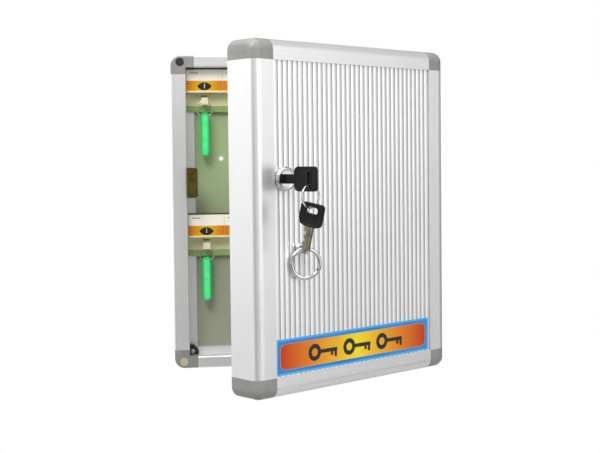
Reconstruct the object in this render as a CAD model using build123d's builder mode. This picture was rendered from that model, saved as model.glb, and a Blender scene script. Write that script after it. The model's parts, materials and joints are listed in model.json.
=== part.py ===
from build123d import *
import math
import os

# Wall key box: a shallow aluminium body with two rows of key hooks, closed by a ribbed door that
# is hinged on the right, with a cam lock, a pull ring and a pair of keys on a split ring.
# Millimetres and degrees. X runs along the width, Z up, and the wall is the plane Y = 0.
# The box lies on the -Y side of the wall, and the origin is midway between the two wall holes.
# All pieces are drawn where they are with the door shut, and those on the door are then
# carried round the hinge axis to where the open door holds them.

# Overall sizes
box_width = 251.0
box_height = 315.0
body_depth = 27.0
door_depth = 35.0
door_gap = 1.0
door_open_angle = 35.9

# Wall holes, drilled through the back panel
wall_hole_spacing = 150.0
wall_hole_height = 212.0
wall_hole_diameter = 4.5
wall_pad_diameter = 14.0

# Frame profile: a hollow bar with a flange that holds a panel in a slot at the closed face
side_reach = 23.5
end_reach = 18.5
body_side_bar = 15.0
door_side_bar = 14.0
end_bar = 11.5
metal = 1.6
face_lip = 1.2
slot_width = 2.6
slot_lip = 1.8
slot_fit = 0.1
edge_fit = 0.3
edge_radius = 9.5
corner_radius = 10.0
rim_radius = 1.4
spigot_length = 12.0
spigot_fit = 0.2

# Ribbed door panel
rib_count = 34
groove_width = 0.7
groove_depth = 0.9
rib_crown = 0.25

# Label plate along the foot of the door
plate_free_margin = 0.3
plate_hinge_margin = 3.1
plate_height = 32.0
plate_thickness = 0.4
plate_foot = 19.6
plate_seat = 0.02

# Corner gussets, buffers and their fit
gusset_side = 9.5
gusset_step = 3.2
gusset_nose = 4.8
gusset_thickness = 8.0
gusset_screw_inset = 3.2
gusset_screw_radius = 1.5
gusset_head_radius = 2.4
gusset_head_height = 1.0
buffer_diameter = 8.4
buffer_rise = 0.6
buffer_depth = 4.0
buffer_from_side = 9.3
buffer_from_end = 6.0

# Hinges
hinge_length = 50.0
hinge_inset = 55.0
knuckle_radius = 3.0
knuckle_gap = 0.5
knuckle_stand = 0.1
pin_radius = 1.5
pin_fit = 0.05
pin_head_radius = 2.4
pin_head_height = 1.0
leaf_thickness = 1.5
leaf_length = 20.0
leaf_relief = 0.4
hinge_screw_inset = 13.0
hinge_screw_pitch = 30.0

# Screws
screw_radius = 1.6
screw_head_radius = 3.0
screw_length = 6.0
pan_head_radius = 3.0
pan_head_height = 1.6

# Hook rails, with their card holders
hooks_per_rail = 6
card_row_inset = 0.3
rail_foot_lower = 112.2
rail_end_gap = 0.4
rail_stand = 0.1
rail_wall = 1.6
rail_lip_height = 6.0
rail_lip_rise = 0.6
shelf_height = 19.4
shelf_reach = 17.0
rail_height = 43.8
card_height = 22.2
card_thickness = 0.5
card_gap = 0.5
card_stop = 1.0
card_fit = 0.1
hook_tab_width = 7.0
hook_tab_foot = 7.4
hook_tab_height = 6.8
hook_tab_thickness = 1.6
hook_tab_corner = 0.8
hook_tab_front = 17.0
hook_stem_width = 4.0
hook_stem_top = 10.0
hook_stem_thickness = 2.2
hook_slot_height = 16.4
hook_slot_width = 1.2

# Key tags on their wire rings
ring_wire_radius = 0.5
ring_radius = 8.0
ring_rest_gap = 0.15
ring_from_tab = 2.4
tag_width = 8.6
tag_corner = 3.9
tag_depth = 6.0
tag_edge = 1.2
tag_length = 45.0
tag_hole_drop = 4.6
upper_ring_turn = 0.0
upper_tag_turn = 0.0
lower_ring_turn = -18.0
lower_tag_turn = -26.0

# Strike plate on the body, behind which the cam catches
strike_height = 30.0
strike_centre = 187.7
strike_barrel_gap = 0.4
strike_thickness = 1.2
strike_proud = 9.0
strike_inset = 19.0
strike_corner = 2.8
strike_screw_pitch = 18.0
strike_screw_depth = 10.0

# Cam lock
nut_from_stile = 0.2
lock_height = 192.9
collar_radius = 10.9
collar_rise = 5.0
collar_edge = 1.6
barrel_radius = 9.0
barrel_fit = 0.1
plug_radius = 6.0
plug_head_radius = 7.4
plug_head_length = 2.0
running_fit = 0.05
plug_recess = 0.4
barrel_end = 6.2
nut_flats = 22.0
nut_thickness = 4.0
keyway_fit = 0.15
cam_thickness = 2.0
cam_seat_side = 7.0
cam_reach = 16.5
cam_tail = 8.0
cam_tip_width = 10.0
cam_screw_head_radius = 4.2
cam_screw_head_height = 2.2
cam_screw_length = 8.0

# Keys: a moulded bow on a flat blade
bow_width = 21.5
bow_thickness = 4.4
bow_corner = 3.4
bow_edge = 0.9
bow_slot_length = 12.3
bow_slot_width = 5.6
blade_width = 7.4
blade_thickness = 2.2
blade_root = 8.0
blade_groove_depth = 0.5
blade_groove_width = 1.5
blade_groove_offset = 1.2
bitting_pitch = 5.6
bitting_width = 3.0
bitting_depths = (1.0, 1.7, 1.3)
key_bow_length = 25.6
key_slot_drop = 7.0
key_blade_length = 26.5
key_bow_end = 75.6
spare_bow_length = 20.5
spare_slot_drop = 6.2
spare_slot_shift = 2.2
spare_blade_length = 23.0
spare_turn = -70.0
spare_tilt = -12.0

# Split ring that joins the two keys
split_wire_radius = 0.9
split_radius = 9.95
split_rest_gap = 0.3

# Pull ring and the eye that carries it
pull_from_edge = 52.8
pull_height = 130.6
eye_base_radius = 5.0
eye_base_height = 2.5
eye_radius = 5.0
eye_thickness = 4.4
eye_reach = 8.0
eye_stud_radius = 2.0
eye_stud_fit = 0.1
eye_nut_flats = 8.0
eye_nut_thickness = 3.0
pull_radius = 13.0
pull_wire_radius = 1.8
pull_rest_gap = 0.75
pull_turn = -26.0

# Levels and places that follow from the sizes above
bottom = -wall_hole_height
middle_height = bottom + box_height / 2
flange = face_lip + slot_width + slot_lip
panel_thickness = slot_width - 2 * slot_fit
door_back = body_depth + door_gap
door_front = door_back + door_depth
panel_front = door_front - face_lip - slot_fit
panel_back = panel_front - panel_thickness
hinge_x = box_width / 2 + knuckle_radius + knuckle_stand
hinge_y = -(body_depth + door_gap / 2)
lock_x = -box_width / 2 + side_reach + nut_from_stile + nut_flats / 2
lock_z = bottom + lock_height
pull_x = -box_width / 2 + pull_from_edge
pull_z = bottom + pull_height
rail_length = box_width - 2 * (body_side_bar + rail_end_gap)
hook_pitch = (rail_length - 2 * card_row_inset) / hooks_per_rail
first_hook_x = -hook_pitch * (hooks_per_rail - 1) / 2
rib_pitch = (box_width - 2 * side_reach) / rib_count
rail_feet = {"upper": bottom + box_height - end_bar - rail_end_gap - rail_height,
             "lower": bottom + rail_foot_lower}

hinge_axis = Pos(hinge_x, hinge_y, 0)
door_place = hinge_axis * Rot(0, 0, door_open_angle) * hinge_axis.inverse()
right = Vector(1, 0, 0)
up = Vector(0, 0, 1)
LOW = (Align.MIN, Align.MIN)


def still(plane):
    """A plane of the body, which stays where it is drawn."""
    return plane


def on_door(plane):
    """A plane drawn on the shut door, carried to where the open door holds it."""
    return Plane(door_place * plane.location)


def facing(distance, x=0.0, z=0.0):
    """A plane that faces the viewer, this far in front of the wall."""
    return Plane(origin=(x, -distance, z), x_dir=(1, 0, 0), z_dir=(0, -1, 0))


def turned(plane, angle, tilt=0.0):
    """The plane turned about the vertical through its origin, then tilted in itself."""
    return Plane(plane.location * Rot(0, angle, 0) * Rot(0, 0, tilt))


def save(name, builder):
    builder.part.label = name
    export_step(builder.part, f"parts/{name}.step")


def bar_section(bar, reach, depth):
    """Section of a frame bar: x inward from the outer face, y from the closed face to the open rim."""
    with BuildSketch(mode=Mode.PRIVATE) as section:
        Rectangle(bar, depth, align=LOW)
        fillet(section.vertices().sort_by_distance((0, 0))[0], edge_radius)
        rims = section.vertices().group_by(Axis.Y)[-1]
        fillet(rims, rim_radius)
        with Locations((bar - metal, 0)):
            Rectangle(reach - bar + metal, flange, align=LOW)
        with Locations((bar, face_lip)):
            Rectangle(reach - bar, slot_width, align=LOW, mode=Mode.SUBTRACT)
        with BuildSketch(mode=Mode.PRIVATE) as hollow:
            with Locations((metal, metal)):
                Rectangle(bar - 2 * metal, depth - 2 * metal, align=LOW)
            inner = hollow.vertices().sort_by_distance((0, 0))[0]
            fillet(inner, min(edge_radius - metal, bar - 2 * metal - edge_fit))
        add(hollow.sketch, mode=Mode.SUBTRACT)
    return section.sketch


def frame_bar(place, middle, inward, toward_open, section, length):
    """A frame bar, drawn about its middle, in the part that is being built."""
    plane = Plane(origin=middle, x_dir=inward, z_dir=inward.cross(toward_open))
    with BuildSketch(place(plane)) as across:
        add(section)
    extrude(across.sketch, amount=length / 2, both=True)


def corner_block(block, place, corner, inward_x, inward_z, toward_open, side_bar, depth):
    """A moulded corner: it closes the outline, pockets the panel and plugs into both bars."""
    normal = inward_x.cross(inward_z)
    way = normal.dot(toward_open)
    face = Plane(origin=corner, x_dir=inward_x, z_dir=normal)
    with BuildSketch(place(face)) as footprint:
        Rectangle(side_reach, end_reach, align=LOW)
        fillet(footprint.vertices().sort_by_distance((0, 0))[0], corner_radius)
    extrude(footprint.sketch, amount=way * depth)
    placed = place(face)
    depth_axis = Axis(placed.origin, placed.z_dir * way)
    levels = block.edges().group_by(depth_axis)
    fillet(levels[0].sort_by_distance(placed.origin)[:3], edge_radius)
    rim_point = placed.origin + placed.z_dir * way * depth
    rims = block.edges().group_by(depth_axis)[-1].sort_by_distance(rim_point)[:3]
    fillet(rims, rim_radius)
    with BuildSketch(place(face.offset(way * flange))) as notch:
        with Locations((side_bar, end_bar)):
            Rectangle(side_reach, end_reach, align=LOW)
    extrude(notch.sketch, amount=way * depth, mode=Mode.SUBTRACT)
    with BuildSketch(place(face.offset(way * face_lip))) as pocket:
        with Locations((side_bar, end_bar)):
            Rectangle(side_reach, end_reach, align=LOW)
    extrude(pocket.sketch, amount=way * slot_width, mode=Mode.SUBTRACT)
    inset = metal + spigot_fit
    with BuildSketch(place(face.offset(way * edge_radius))) as spigots:
        with Locations((side_bar, inset)):
            Rectangle(side_reach - side_bar + spigot_length, end_bar - 2 * inset, align=LOW)
        with Locations((inset, end_bar)):
            Rectangle(side_bar - 2 * inset, end_reach - end_bar + spigot_length, align=LOW)
    extrude(spigots.sketch, amount=way * (depth - edge_radius - inset))


def drill(place, plane, spots, radius, depth):
    """Round holes at spots of a plane, cut to this depth against its normal."""
    with BuildSketch(place(plane)) as holes:
        with Locations(*spots):
            Circle(radius)
    extrude(holes.sketch, amount=-depth, mode=Mode.SUBTRACT)


def pegs(place, plane, spots, radius, depth):
    """Round pegs at spots of a plane, standing this far along its normal."""
    with BuildSketch(place(plane)) as rounds:
        with Locations(*spots):
            Circle(radius)
    extrude(rounds.sketch, amount=depth)


def ring_hole(ring, wire, gap, length, turn):
    """Radius of a straight hole of this length that clears a ring passing through it at a turn."""
    slant = math.cos(math.radians(turn))
    half_way = length / 2 / slant
    rise = ring - math.sqrt(ring**2 - half_way**2)
    sideways = length / 2 * math.tan(math.radians(turn))
    return wire / slant + gap + math.hypot(rise, sideways)


os.makedirs("parts", exist_ok=True)

hinge_heights = (bottom + hinge_inset, bottom + box_height - hinge_inset)
hinge_screw_heights = []
for height in hinge_heights:
    hinge_screw_heights.append(height - hinge_screw_pitch / 2)
    hinge_screw_heights.append(height + hinge_screw_pitch / 2)
right_face = Plane(origin=(box_width / 2, 0, 0), x_dir=(0, 1, 0), z_dir=(1, 0, 0))
body_hinge_spots = [(hinge_y + hinge_screw_inset, z) for z in hinge_screw_heights]
door_hinge_spots = [(hinge_y - hinge_screw_inset, z) for z in hinge_screw_heights]

strike_wall_x = -box_width / 2 + body_side_bar
strike_face = Plane(origin=(strike_wall_x, 0, 0), x_dir=(0, 1, 0), z_dir=(1, 0, 0))
strike_z = bottom + strike_centre
strike_width = lock_x - barrel_radius - strike_barrel_gap - strike_wall_x
strike_spots = [
    (-body_depth + strike_screw_depth, strike_z - strike_screw_pitch / 2),
    (-body_depth + strike_screw_depth, strike_z + strike_screw_pitch / 2),
]

# The two trays: body and door are framed alike, the door with its closed face to the front
trays = (
    ("body", still, 0.0, 1, body_depth, body_side_bar, ("left", "right"), body_hinge_spots),
    ("door", on_door, door_front, -1, door_depth, door_side_bar, ("free", "hinge"), door_hinge_spots),
)
for tray, place, closed_at, way, depth, side_bar, sides, hinge_spots in trays:
    toward_open = Vector(0, -way, 0)
    side_section = bar_section(side_bar, side_reach, depth)
    end_section = bar_section(end_bar, end_reach, depth)

    for side, sign in zip(sides, (-1, 1)):
        middle = Vector(sign * box_width / 2, -closed_at, middle_height)
        with BuildPart() as side_rail:
            frame_bar(place, middle, right * -sign, toward_open, side_section, box_height - 2 * end_reach)
            if sign > 0:
                drill(place, right_face, hinge_spots, screw_radius, metal)
            elif tray == "body":
                drill(place, strike_face, strike_spots, screw_radius, metal)
        save(f"{tray}_{side}_rail", side_rail)

    for end, sign in (("bottom", -1), ("top", 1)):
        middle = Vector(0, -closed_at, middle_height + sign * box_height / 2)
        with BuildPart() as end_rail:
            frame_bar(place, middle, up * -sign, toward_open, end_section, box_width - 2 * side_reach)
        save(f"{tray}_{end}_rail", end_rail)

    for end, end_sign in (("bottom", -1), ("top", 1)):
        for side, side_sign in zip(sides, (-1, 1)):
            corner_x = side_sign * box_width / 2
            corner_z = middle_height + end_sign * box_height / 2
            corner = Vector(corner_x, -closed_at, corner_z)
            with BuildPart() as block:
                corner_block(block, place, corner, right * -side_sign, up * -end_sign,
                             toward_open, side_bar, depth)
                if tray == "body" and side_sign < 0:
                    buffer_x = corner_x + buffer_from_side
                    buffer_z = corner_z - end_sign * buffer_from_end
                    seat = facing(body_depth, buffer_x, buffer_z)
                    drill(still, seat, [(0, 0)], buffer_diameter / 2, buffer_depth)
            save(f"{tray}_{end}_{side}_corner", block)

# Back panel, slid into the slots of the body frame, with a pad round each wall hole that meets the wall
panel_height = box_height - 2 * (end_bar + edge_fit)
wall_holes = ((-wall_hole_spacing / 2, 0), (wall_hole_spacing / 2, 0))
with BuildPart() as back_panel:
    with BuildSketch(facing(face_lip + slot_fit, 0, middle_height)):
        Rectangle(box_width - 2 * (body_side_bar + edge_fit), panel_height)
    extrude(amount=panel_thickness)
    with BuildSketch(facing(0)):
        with Locations(*wall_holes):
            Circle(wall_pad_diameter / 2)
    extrude(amount=face_lip + slot_fit)
    with BuildSketch(facing(0)):
        with Locations(*wall_holes):
            Circle(wall_hole_diameter / 2)
    extrude(amount=body_depth, mode=Mode.SUBTRACT)
save("back_panel", back_panel)

# Buffers in the two free corners of the body, which the shut door meets
for end, sign in (("lower", -1), ("upper", 1)):
    buffer_x = -box_width / 2 + buffer_from_side
    buffer_z = middle_height + sign * (box_height / 2 - buffer_from_end)
    with BuildPart() as buffer:
        with BuildSketch(facing(body_depth - buffer_depth, buffer_x, buffer_z)):
            Circle(buffer_diameter / 2)
        extrude(amount=buffer_depth + buffer_rise)
        fillet(buffer.edges().group_by(Axis.Y)[0], buffer_rise)
    save(f"{end}_buffer", buffer)

# Gussets in the two lower inner corners of the body, each held by a screw
gusset_x = box_width / 2 - body_side_bar
gusset_z = bottom + end_bar
gusset_screws_at = []
with BuildPart() as corner_gussets:
    for side in (-1, 1):
        with BuildSketch(facing(flange)):
            with BuildLine():
                Polyline(
                    (side * gusset_x, gusset_z),
                    (side * (gusset_x - gusset_side), gusset_z),
                    (side * (gusset_x - gusset_side), gusset_z + gusset_step),
                    (side * (gusset_x - gusset_nose), gusset_z + gusset_side),
                    (side * gusset_x, gusset_z + gusset_side),
                    close=True,
                )
            make_face()
        extrude(amount=gusset_thickness)
        gusset_screws_at.append((side * (gusset_x - gusset_screw_inset), gusset_z + gusset_screw_inset))
    drill(still, facing(flange + gusset_thickness), gusset_screws_at, gusset_screw_radius, gusset_thickness)
save("corner_gussets", corner_gussets)

with BuildPart() as gusset_screws:
    pegs(still, facing(flange), gusset_screws_at, gusset_screw_radius, gusset_thickness)
    pegs(still, facing(flange + gusset_thickness), gusset_screws_at, gusset_head_radius, gusset_head_height)
save("gusset_screws", gusset_screws)

# Strike plate: one leg on the inside of the left bar, the other turned in across the opening
strike_front = body_depth + strike_proud
with BuildPart() as strike_plate:
    with BuildSketch(Plane(origin=(strike_wall_x, 0, strike_z), x_dir=(1, 0, 0), z_dir=(0, 0, 1))):
        with Locations((0, -strike_front)):
            Rectangle(strike_thickness, strike_proud + strike_inset, align=LOW)
            Rectangle(strike_width, strike_thickness, align=LOW)
    extrude(amount=strike_height / 2, both=True)
    free_corners = strike_plate.edges().filter_by(Axis.Y).group_by(Axis.X)[-1]
    fillet(free_corners, strike_corner)
    drill(still, strike_face.offset(strike_thickness), strike_spots, screw_radius, strike_thickness)
save("strike_plate", strike_plate)

with BuildPart() as strike_screws:
    pegs(still, strike_face.offset(strike_thickness), strike_spots, pan_head_radius, pan_head_height)
    pegs(still, strike_face.offset(strike_thickness - screw_length), strike_spots,
         screw_radius, screw_length)
save("strike_screws", strike_screws)

# Hook rails: a back plate with a foot lip, and above it a box that holds the name cards
rail_back = flange + rail_stand
rail_face = rail_back + rail_wall
card_seat = shelf_reach - card_thickness - card_fit
hook_places = [first_hook_x + k * hook_pitch for k in range(hooks_per_rail)]
rail_screw_places = (first_hook_x + 3 * hook_pitch / 2, -first_hook_x - 3 * hook_pitch / 2)
rail_screw_height = shelf_height / 2
for level, foot in rail_feet.items():
    shelf_top = foot + shelf_height + card_stop
    card_top = shelf_top + card_height + card_fit
    with BuildPart() as hook_rail:
        with BuildSketch(Plane(origin=(0, 0, foot), x_dir=(0, -1, 0), z_dir=(-1, 0, 0))):
            with BuildLine():
                Polyline(
                    (rail_back, 0),
                    (rail_face + rail_lip_rise, 0),
                    (rail_face + rail_lip_rise, rail_lip_height),
                    (rail_face, rail_lip_height + rail_lip_rise),
                    (rail_face, shelf_height),
                    (shelf_reach, shelf_height),
                    (shelf_reach, shelf_height + card_stop),
                    (card_seat, shelf_height + card_stop),
                    (card_seat, card_top - foot),
                    (shelf_reach, card_top - foot),
                    (shelf_reach, rail_height),
                    (rail_back, rail_height),
                    close=True,
                )
            make_face()
            with Locations((rail_face, shelf_height + rail_wall)):
                Rectangle(card_seat - rail_wall - rail_face, rail_height - shelf_height - 2 * rail_wall,
                          align=LOW, mode=Mode.SUBTRACT)
        extrude(amount=rail_length / 2, both=True)
        screw_spots = [(x, foot + rail_screw_height) for x in rail_screw_places]
        drill(still, facing(rail_face), screw_spots, screw_radius, rail_wall)
        with BuildSketch(facing(rail_face, 0, foot)):
            with Locations(*[(x, hook_slot_height) for x in hook_places]):
                Rectangle(hook_tab_width, hook_slot_width)
        extrude(amount=-rail_wall, mode=Mode.SUBTRACT)
    save(f"{level}_hook_rail", hook_rail)

    with BuildPart() as name_cards:
        with BuildSketch(facing(card_seat, 0, shelf_top)):
            with Locations(*[(x, card_height / 2) for x in hook_places]):
                Rectangle(hook_pitch - card_gap, card_height)
        extrude(amount=card_thickness)
    save(f"{level}_name_cards", name_cards)

    with BuildPart() as key_hooks:
        with BuildSketch(facing(hook_tab_front - hook_tab_thickness, 0, foot)):
            with Locations(*[(x, hook_tab_foot + hook_tab_height / 2) for x in hook_places]):
                RectangleRounded(hook_tab_width, hook_tab_height, hook_tab_corner)
        extrude(amount=hook_tab_thickness)
        with BuildSketch(facing(rail_face, 0, foot)):
            with Locations(*[(x, hook_stem_top - hook_stem_thickness / 2) for x in hook_places]):
                Rectangle(hook_stem_width, hook_stem_thickness)
        extrude(amount=hook_tab_front - hook_tab_thickness - rail_face)
    save(f"{level}_key_hooks", key_hooks)

with BuildPart() as rail_screws:
    for foot in rail_feet.values():
        screw_spots = [(x, foot + rail_screw_height) for x in rail_screw_places]
        pegs(still, facing(rail_face), screw_spots, pan_head_radius, pan_head_height)
        pegs(still, facing(face_lip + slot_fit + panel_thickness), screw_spots,
             screw_radius, rail_face - face_lip - slot_fit - panel_thickness)
save("rail_screws", rail_screws)

# Key tags: a wire ring over the first hook of each rail, and a slim tag hanging in it
ring_from_wall = hook_tab_front - hook_tab_thickness - ring_from_tab
ring_over_stem = math.sqrt((ring_radius - ring_wire_radius) ** 2 - (hook_stem_width / 2) ** 2)
tag_rows = (
    ("upper", upper_ring_turn, upper_tag_turn),
    ("lower", lower_ring_turn, lower_tag_turn),
)
for level, ring_turn, tag_turn in tag_rows:
    ring_centre = rail_feet[level] + hook_stem_top + ring_rest_gap - ring_over_stem
    ring_plane = turned(facing(ring_from_wall, first_hook_x, ring_centre), ring_turn)
    with BuildPart() as tag_ring:
        with BuildSketch(Plane(origin=ring_plane.origin, x_dir=ring_plane.x_dir, z_dir=-ring_plane.y_dir)):
            with Locations((ring_radius, 0)):
                Circle(ring_wire_radius)
        revolve(axis=Axis(ring_plane.origin, ring_plane.z_dir))
    save(f"{level}_tag_ring", tag_ring)

    tag_swivel = tag_turn - ring_turn
    tag_hole_radius = ring_hole(ring_radius, ring_wire_radius, ring_rest_gap, tag_width, tag_swivel)
    tag_plane = turned(facing(ring_from_wall, first_hook_x, ring_centre - ring_radius), tag_turn)
    with BuildPart() as key_tag:
        with BuildSketch(tag_plane.offset(-tag_depth / 2)):
            with Locations((0, tag_hole_drop - tag_length / 2)):
                RectangleRounded(tag_width, tag_length, tag_corner)
        extrude(amount=tag_depth)
        across = key_tag.faces().sort_by(Axis(tag_plane.origin, tag_plane.z_dir))
        fillet(across[0].edges() + across[-1].edges(), tag_edge)
        with BuildSketch(Plane(origin=tag_plane.origin, x_dir=tag_plane.y_dir, z_dir=tag_plane.x_dir)):
            Circle(tag_hole_radius)
        extrude(amount=tag_width, both=True, mode=Mode.SUBTRACT)
    save(f"{level}_key_tag", key_tag)

# Hinges: leaves on the outer right faces, three knuckles each, and a headed pin
knuckle_length = (hinge_length - 2 * knuckle_gap) / 3
leaf_middle = leaf_length / 2
for level, height in zip(("lower", "upper"), hinge_heights):
    foot = height - hinge_length / 2
    rises = [foot + k * (knuckle_length + knuckle_gap) for k in range(3)]
    leaves = (
        ("body", still, 1, (rises[0], rises[2]), body_hinge_spots),
        ("door", on_door, -1, (rises[1],), door_hinge_spots),
    )
    for tray, place, way, knuckles, spots in leaves:
        with BuildPart() as hinge_leaf:
            clear = knuckle_radius + leaf_relief
            with BuildSketch(place(Plane(origin=(box_width / 2, hinge_y, foot)))):
                with Locations((leaf_thickness / 2, way * (clear + leaf_length) / 2)):
                    Rectangle(leaf_thickness, leaf_length - clear)
            extrude(amount=hinge_length)
            for rise in knuckles:
                with BuildSketch(place(Plane(origin=(hinge_x, hinge_y, rise)))):
                    Circle(knuckle_radius)
                    with Locations((box_width / 2 - hinge_x + leaf_thickness / 2, way * clear / 2)):
                        Rectangle(leaf_thickness, clear)
                extrude(amount=knuckle_length)
            with BuildSketch(place(Plane(origin=(hinge_x, hinge_y, foot)))):
                Circle(pin_radius + pin_fit)
            extrude(amount=hinge_length, mode=Mode.SUBTRACT)
            own = [spot for spot in spots if abs(spot[1] - height) < hinge_length / 2]
            outside = right_face.offset(leaf_thickness)
            with Locations(*[place(Plane(outside.location * Pos(y, z, 0))).location for y, z in own]):
                CounterSinkHole(screw_radius, screw_head_radius, leaf_thickness)
        save(f"{level}_hinge_{tray}_leaf", hinge_leaf)

    with BuildPart() as hinge_pin:
        with BuildSketch(Plane(origin=(hinge_x, hinge_y, foot))):
            Circle(pin_radius)
        extrude(amount=hinge_length)
        with BuildSketch(Plane(origin=(hinge_x, hinge_y, foot + hinge_length))):
            Circle(pin_head_radius)
        extrude(amount=pin_head_height)
    save(f"{level}_hinge_pin", hinge_pin)

head_depth = screw_head_radius - screw_radius
for tray, place, spots in (("body", still, body_hinge_spots), ("door", on_door, door_hinge_spots)):
    with BuildPart() as hinge_screws:
        outside = right_face.offset(leaf_thickness)
        for y, z in spots:
            side = Plane(outside.location * Pos(y, z, 0) * Rot(90, 0, 0))
            with BuildSketch(place(side)):
                with BuildLine():
                    Polyline(
                        (0, 0),
                        (screw_head_radius, 0),
                        (screw_radius, -head_depth),
                        (screw_radius, -screw_length),
                        (0, -screw_length),
                        close=True,
                    )
                make_face()
            revolve(axis=Axis(place(side).origin, place(side).y_dir))
    save(f"{tray}_hinge_screws", hinge_screws)

# Ribbed door panel, in the slots of the door frame, with its ribs to the front
with BuildPart() as ribbed_panel:
    half_window = rib_pitch * rib_count / 2
    half_panel = box_width / 2 - door_side_bar - edge_fit
    floor = groove_depth
    shoulder = rib_crown
    with BuildSketch(on_door(Plane(origin=(0, -panel_front, middle_height)))):
        with BuildLine():
            start = (-half_window - groove_width / 2, shoulder)
            last = start
            for k in range(rib_count + 1):
                groove = -half_window + k * rib_pitch
                Polyline(last, (groove, floor), (groove + groove_width / 2, shoulder))
                last = (groove + groove_width / 2, shoulder)
                if k < rib_count:
                    crown = (groove + rib_pitch / 2, 0)
                    end = (groove + rib_pitch - groove_width / 2, shoulder)
                    ThreePointArc(last, crown, end)
                    last = end
            Polyline(
                last,
                (half_panel, shoulder),
                (half_panel, panel_thickness),
                (-half_panel, panel_thickness),
                (-half_panel, shoulder),
                start,
            )
        make_face()
    extrude(amount=panel_height / 2, both=True)
    drill(on_door, facing(door_front), [(lock_x, lock_z)], barrel_radius + barrel_fit, door_depth)
    drill(on_door, facing(door_front), [(pull_x, pull_z)], eye_stud_radius + eye_stud_fit, door_depth)
save("ribbed_panel", ribbed_panel)

plate_width = box_width - 2 * side_reach - plate_free_margin - plate_hinge_margin
plate_centre = (plate_free_margin - plate_hinge_margin) / 2
with BuildPart() as label_plate:
    with BuildSketch(on_door(facing(panel_front + plate_seat, 0, bottom + plate_foot))):
        with Locations((plate_centre, plate_height / 2)):
            RectangleRounded(plate_width, plate_height, plate_thickness)
    extrude(amount=plate_thickness)
save("label_plate", label_plate)

# Cam lock: a collared barrel through the panel, its nut, the plug that turns in it, and the cam
barrel_back = door_back + barrel_end
collar_front = panel_front + collar_rise
plug_front = collar_front - plug_recess
cam_back = barrel_back - cam_thickness


def round_bar(plane, radius, length, mode=Mode.ADD):
    """A round bar along a plane's normal, or a bore of that shape."""
    with BuildSketch(plane) as disc:
        Circle(radius)
    extrude(disc.sketch, amount=length, mode=mode)


def at_lock(distance):
    return on_door(facing(distance, lock_x, lock_z))


with BuildPart() as lock_housing:
    round_bar(at_lock(panel_front), collar_radius, collar_rise)
    collar_axis = Axis(at_lock(panel_front).origin, at_lock(panel_front).z_dir)
    fillet(lock_housing.edges().group_by(collar_axis)[-1], collar_edge)
    round_bar(at_lock(barrel_back), barrel_radius, panel_front - barrel_back)
    round_bar(at_lock(barrel_back), plug_radius + running_fit, collar_front - barrel_back, Mode.SUBTRACT)
    head_bore = plug_head_length + plug_recess + running_fit
    round_bar(at_lock(collar_front - head_bore), plug_head_radius + running_fit, head_bore, Mode.SUBTRACT)
save("lock_housing", lock_housing)

with BuildPart() as lock_nut:
    with BuildSketch(at_lock(panel_back - nut_thickness)):
        RegularPolygon(nut_flats / 2, 6, major_radius=False, rotation=30)
        Circle(barrel_radius, mode=Mode.SUBTRACT)
    extrude(amount=nut_thickness)
save("lock_nut", lock_nut)

key_tip = key_bow_end - key_bow_length - key_blade_length
keyway_end = door_back + key_tip - keyway_fit
with BuildPart() as lock_plug:
    round_bar(at_lock(barrel_back), plug_radius, plug_front - barrel_back)
    round_bar(at_lock(plug_front - plug_head_length), plug_head_radius, plug_head_length)
    with BuildSketch(at_lock(cam_back)):
        Rectangle(cam_seat_side, cam_seat_side)
    extrude(amount=cam_thickness)
    round_bar(at_lock(cam_back), screw_radius, cam_screw_length - cam_screw_head_height, Mode.SUBTRACT)
    with BuildSketch(at_lock(plug_front)):
        Rectangle(blade_thickness + 2 * keyway_fit, blade_width + 2 * keyway_fit)
    extrude(amount=keyway_end - plug_front, mode=Mode.SUBTRACT)
save("lock_plug", lock_plug)

with BuildPart() as lock_cam:
    with BuildSketch(at_lock(cam_back)):
        with BuildLine():
            Polyline(
                (-cam_tail, 0),
                (-cam_tip_width / 2, -cam_reach),
                (cam_tip_width / 2, -cam_reach),
                (cam_tail, 0),
            )
            CenterArc((0, 0), cam_tail, 0, 180)
        make_face()
        Rectangle(cam_seat_side, cam_seat_side, mode=Mode.SUBTRACT)
    extrude(amount=cam_thickness)
save("lock_cam", lock_cam)

with BuildPart() as cam_screw:
    round_bar(at_lock(cam_back - cam_screw_head_height), cam_screw_head_radius, cam_screw_head_height)
    round_bar(at_lock(cam_back), screw_radius, cam_screw_length - cam_screw_head_height)
save("cam_screw", cam_screw)


def key_blade_profile(bow_length, blade_length):
    """Blade outline: y = 0 at the bow's outer end, growing toward the tip."""
    tip = bow_length + blade_length
    half = blade_width / 2
    with BuildSketch(mode=Mode.PRIVATE) as outline:
        with BuildLine():
            Polyline(
                (-half, bow_length - blade_root),
                (-half, tip - half),
                (0, tip),
                (half, tip - half),
                (half, bow_length - blade_root),
                close=True,
            )
        make_face()
        for k in range(int(blade_length / bitting_pitch) - 1):
            with Locations((half, tip - bitting_pitch * (k + 1))):
                depth_here = bitting_depths[k % len(bitting_depths)]
                Rectangle(2 * depth_here, bitting_width, mode=Mode.SUBTRACT)
    return outline.sketch


def key_blade(plane, bow_length, blade_length):
    """Flat blade in a plane whose y runs from the bow's outer end to the tip."""
    with BuildSketch(plane) as outline:
        add(key_blade_profile(bow_length, blade_length))
    extrude(outline.sketch, amount=blade_thickness / 2, both=True)
    for side in (-1, 1):
        groove_plane = plane.offset(side * (blade_thickness / 2 - blade_groove_depth))
        with BuildSketch(groove_plane) as groove:
            with Locations((-blade_groove_offset, bow_length + blade_length / 2)):
                Rectangle(blade_groove_width, blade_length)
        extrude(groove.sketch, amount=side * blade_groove_depth, mode=Mode.SUBTRACT)


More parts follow.
